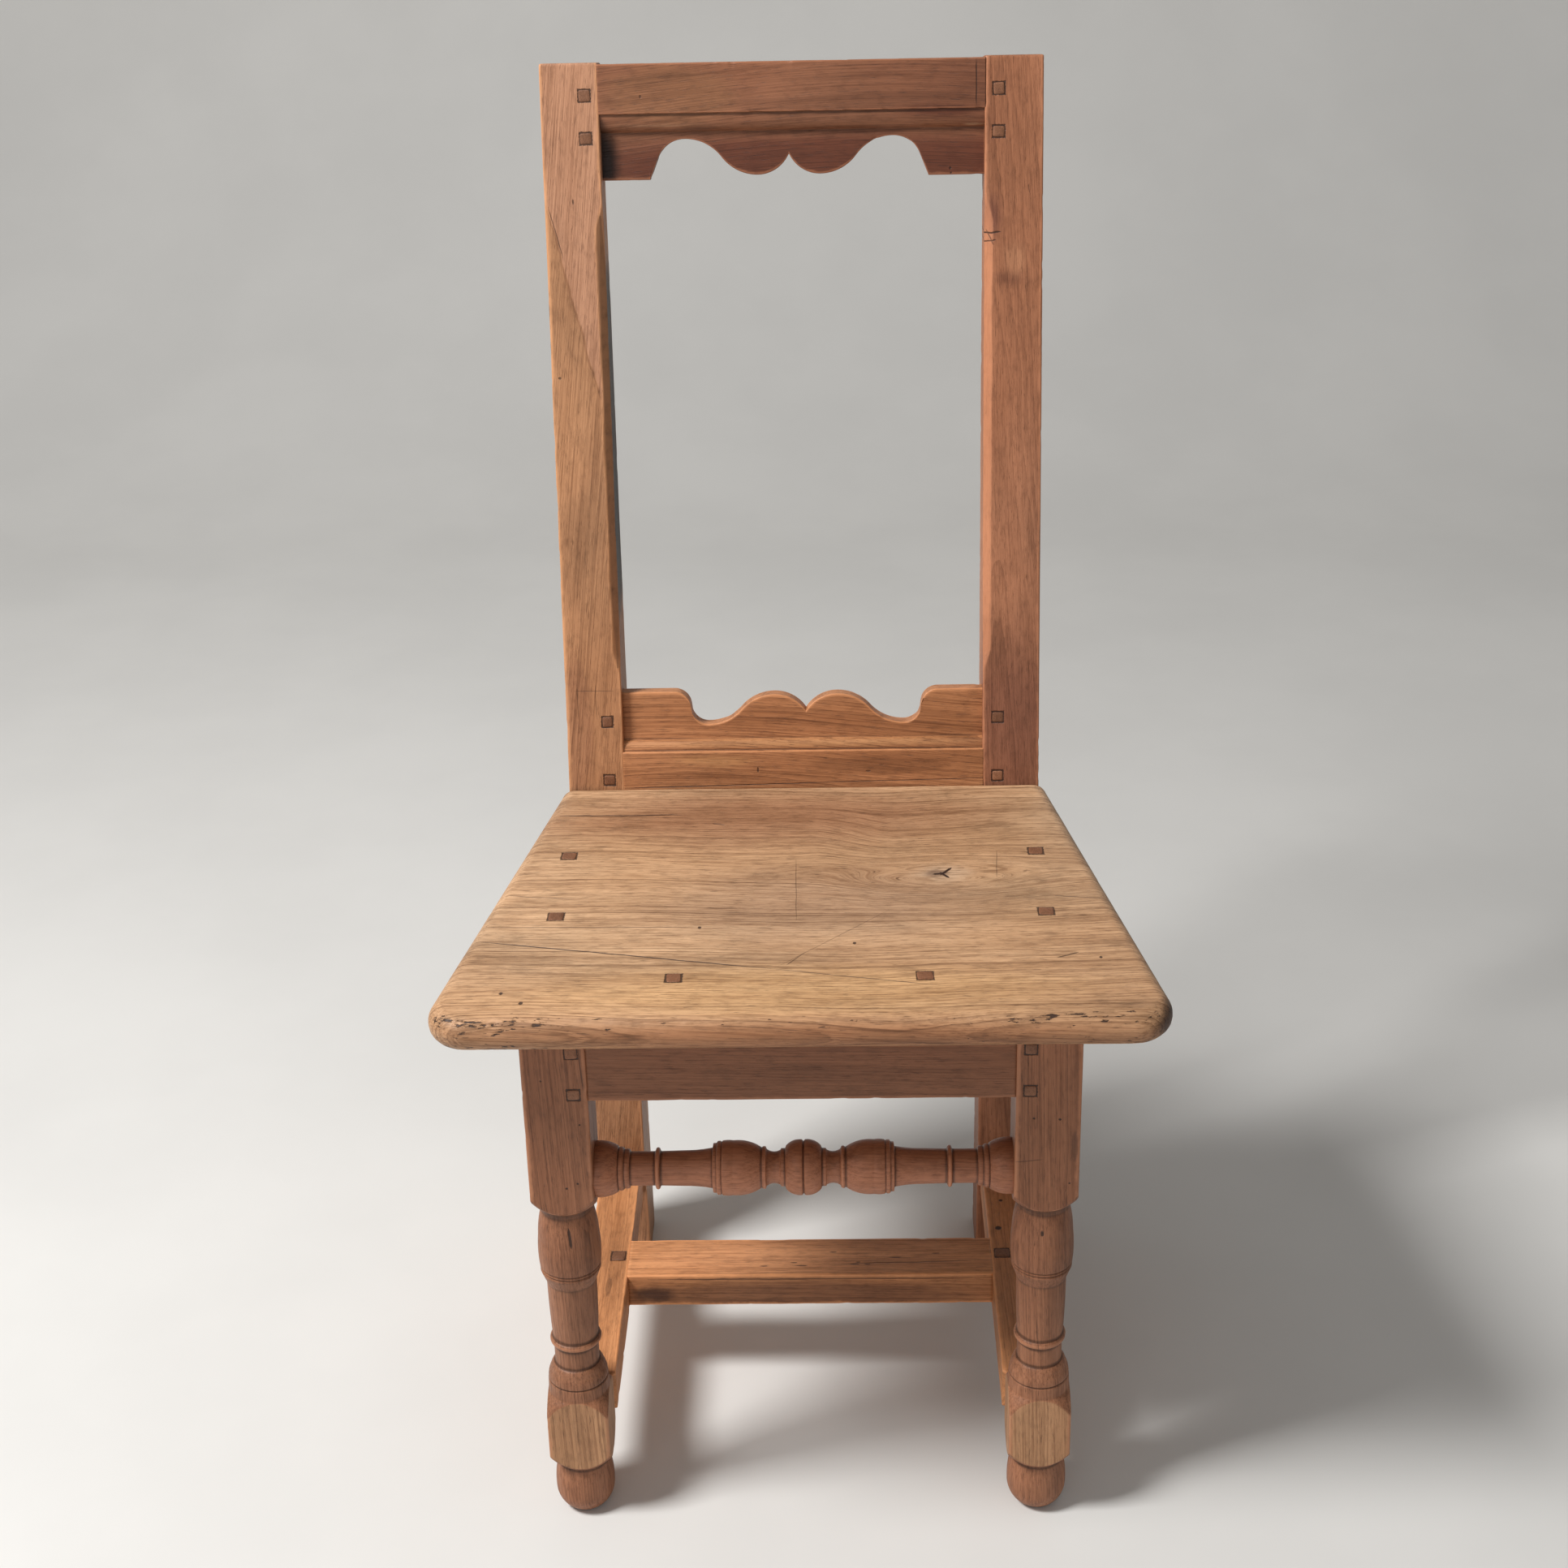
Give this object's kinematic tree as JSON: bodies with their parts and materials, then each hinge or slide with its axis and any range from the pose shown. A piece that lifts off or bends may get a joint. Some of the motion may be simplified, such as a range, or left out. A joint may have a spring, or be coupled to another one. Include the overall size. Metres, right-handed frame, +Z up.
{
  "type": "joined side chair",
  "caption": "Joined wooden side chair with turned front legs, an open raked back between scalloped rails and a plank seat, pegged throughout.",
  "frame": {"origin": "on the floor, under the middle of the chair's bounding box", "axes": "+Z up, +Y towards the back, +X to the right as seen from the front"},
  "size_m": [0.5014, 0.4658, 1.016],
  "materials": {
    "post_wood": "waxed fruitwood, pale pinkish brown, worn satin",
    "back_rail_wood": "waxed fruitwood, red brown, worn satin",
    "leg_wood": "waxed fruitwood, mid brown, polished by wear",
    "seat_wood": "waxed fruitwood, tan, worn nearly matt",
    "rail_wood": "waxed fruitwood, dark mid brown, satin",
    "stretcher_wood": "waxed fruitwood, orange brown, satin",
    "peg_wood": "dark end grain of hand-cut pegs"
  },
  "bodies": {
    "root": {"left_back_post": "post_wood", "right_back_post": "post_wood", "crest_rail": "back_rail_wood", "lower_back_rail": "back_rail_wood", "seat_board": "seat_wood", "left_front_leg": "leg_wood", "right_front_leg": "leg_wood", "front_seat_rail": "rail_wood", "left_side_seat_rail": "rail_wood", "right_side_seat_rail": "rail_wood", "rear_seat_rail": "rail_wood", "front_turned_stretcher": "stretcher_wood", "left_side_stretcher": "stretcher_wood", "right_side_stretcher": "stretcher_wood", "cross_stretcher": "stretcher_wood", "crest_rail_pegs": "peg_wood", "back_rail_pegs": "peg_wood", "front_rail_pegs": "peg_wood", "side_rail_front_pegs": "peg_wood", "side_rail_rear_pegs": "peg_wood", "rear_rail_pegs": "peg_wood", "seat_pegs": "peg_wood", "side_stretcher_front_pegs": "peg_wood", "side_stretcher_rear_pegs": "peg_wood", "cross_stretcher_pegs": "peg_wood"}
  },
  "joints": []
}
